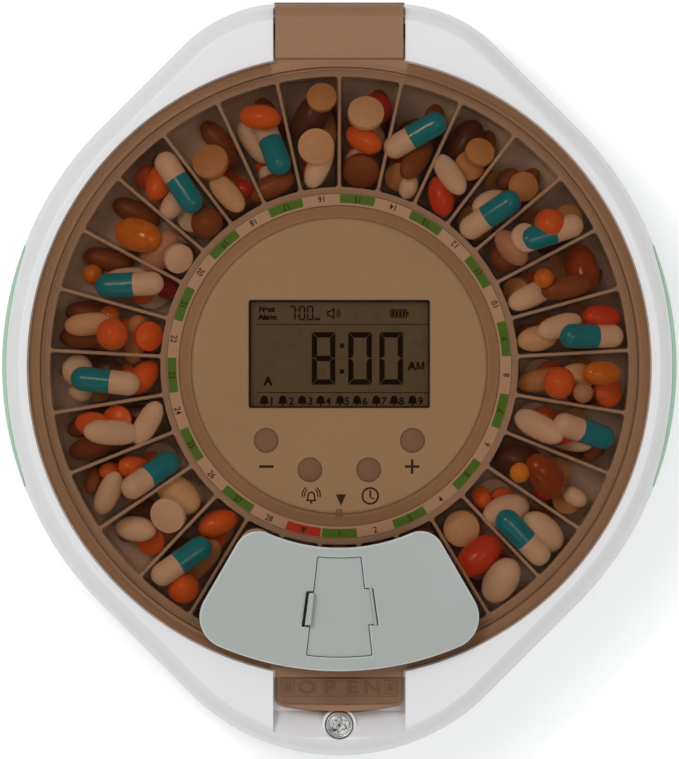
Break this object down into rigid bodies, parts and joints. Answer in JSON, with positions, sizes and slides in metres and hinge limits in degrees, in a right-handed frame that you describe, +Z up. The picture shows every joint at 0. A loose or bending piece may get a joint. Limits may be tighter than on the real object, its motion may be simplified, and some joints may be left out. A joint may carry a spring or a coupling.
{
  "type": "electronic pill box",
  "caption": "Round pill box with a see-through hinged lid, a turning tray of wedge compartments, a display hub, a dispensing door and a lock in the nose.",
  "frame": {"origin": "middle of the bounding box in plan, on the surface that the feet stand on", "axes": "+Z up; the nose with the lock points to -Y, the lid's hinge is at +Y, +X is to the right in the picture"},
  "size_m": [0.2102, 0.2344, 0.064],
  "materials": {
    "white_shell": "white moulded plastic with a fine satin grain",
    "green_grip": "pale green soft-touch grip pad",
    "white_tray": "white moulded plastic, satin",
    "ring_print": "printed ring with green and cream fields",
    "brown_clear": "clear brown polished plastic",
    "grey_plate": "grey satin plastic",
    "hub_bezel": "pale grey-green satin plastic",
    "hub_face": "cream satin plastic with printed signs",
    "window_clear": "clear polished window",
    "display_glass": "grey-green liquid-crystal display",
    "board_green": "green solder mask over glass-fibre laminate",
    "black_plastic": "black moulded plastic",
    "key_rubber": "grey silicone rubber",
    "gear_plastic": "natural acetal",
    "motor_steel": "zinc-plated steel",
    "lock_metal": "nickel-plated die-cast metal",
    "cell_sleeve": "dark printed sleeve on a cell",
    "steel": "plated steel",
    "foot_rubber": "black rubber"
  },
  "bodies": {
    "case": {"upper_shell": "white_shell", "base_tub": "white_shell", "side_grip_right": "green_grip", "side_grip_left": "green_grip", "hub_case": "hub_bezel", "hub_face": "hub_face", "lcd_window": "window_clear", "lcd_module": "display_glass", "main_board": "board_green", "tact_switch_minus": "black_plastic", "tact_switch_alarm": "black_plastic", "tact_switch_clock": "black_plastic", "tact_switch_plus": "black_plastic", "buzzer": "black_plastic", "index_sensor": "black_plastic", "gearbox": "motor_steel", "drive_motor": "motor_steel", "lock_barrel": "lock_metal", "lock_clip": "lock_metal", "aa_cell_1": "cell_sleeve", "aa_cell_2": "cell_sleeve", "aa_cell_3": "cell_sleeve", "aa_cell_4": "cell_sleeve", "contact_link_1": "steel", "contact_link_2": "steel", "contact_link_3": "steel", "contact_negative": "steel", "contact_positive": "steel", "case_screw_1": "steel", "case_screw_2": "steel", "case_screw_3": "steel", "case_screw_4": "steel", "hub_screw_1": "steel", "hub_screw_2": "steel", "hub_screw_3": "steel", "hub_screw_4": "steel", "board_screw_1": "steel", "board_screw_2": "steel", "board_screw_3": "steel", "board_screw_4": "steel", "motor_screw_1": "steel", "motor_screw_2": "steel", "hinge_pin": "steel", "rubber_foot_1": "foot_rubber", "rubber_foot_2": "foot_rubber", "rubber_foot_3": "foot_rubber", "rubber_foot_4": "foot_rubber"},
    "lid": {"lid": "brown_clear", "dispenser_plate": "grey_plate"},
    "door": {"dispensing_door": "grey_plate"},
    "tray": {"pill_tray": "white_tray", "day_ring": "ring_print"},
    "pinion": {"drive_pinion": "gear_plastic"},
    "lock": {"lock_plug": "lock_metal", "lock_cam": "lock_metal"},
    "minus_key": {"button_minus": "key_rubber"},
    "alarm_key": {"button_alarm": "key_rubber"},
    "clock_key": {"button_clock": "key_rubber"},
    "plus_key": {"button_plus": "key_rubber"},
    "cover": {"battery_cover": "white_shell"}
  },
  "joints": [
    {"name": "lid_hinge", "type": "hinge", "parent": "case", "child": "lid", "pos_m": [0, 0.1114, 0.0513], "axis": [-1, 0, 0], "range_deg": [0, 100]},
    {"name": "door_hinge", "type": "hinge", "parent": "lid", "child": "door", "pos_m": [0.01038, -0.06967, 0.0611], "axis": [-0.1392, 0.9903, 0], "range_deg": [0, 95]},
    {"name": "tray_spin", "type": "hinge", "parent": "case", "child": "tray", "pos_m": [0, 0.0042, 0.0301], "axis": [0, 0, 1], "continuous": true},
    {"name": "pinion_spin", "type": "hinge", "parent": "case", "child": "pinion", "pos_m": [0, 0.0492, 0.0307], "axis": [0, 0, 1], "continuous": true},
    {"name": "lock_turn", "type": "hinge", "parent": "case", "child": "lock", "pos_m": [0, -0.1071, 0.0432], "axis": [0, 0, 1], "range_deg": [0, 90]},
    {"name": "cover_hinge", "type": "hinge", "parent": "case", "child": "cover", "pos_m": [0, 0.0055, 0.0024], "axis": [1, 0, 0], "range_deg": [0, 75]},
    {"name": "minus_press", "type": "slide", "parent": "case", "child": "minus_key", "axis": [0, 0, 1], "range_m": [-0.0009, 0], "stiffness_N_per_m": 300},
    {"name": "alarm_press", "type": "slide", "parent": "case", "child": "alarm_key", "axis": [0, 0, 1], "range_m": [-0.0009, 0], "stiffness_N_per_m": 300},
    {"name": "clock_press", "type": "slide", "parent": "case", "child": "clock_key", "axis": [0, 0, 1], "range_m": [-0.0009, 0], "stiffness_N_per_m": 300},
    {"name": "plus_press", "type": "slide", "parent": "case", "child": "plus_key", "axis": [0, 0, 1], "range_m": [-0.0009, 0], "stiffness_N_per_m": 300}
  ],
  "couplings": [
    {"joint": "pinion_spin", "follows": "tray_spin", "ratio": 7.25}
  ]
}
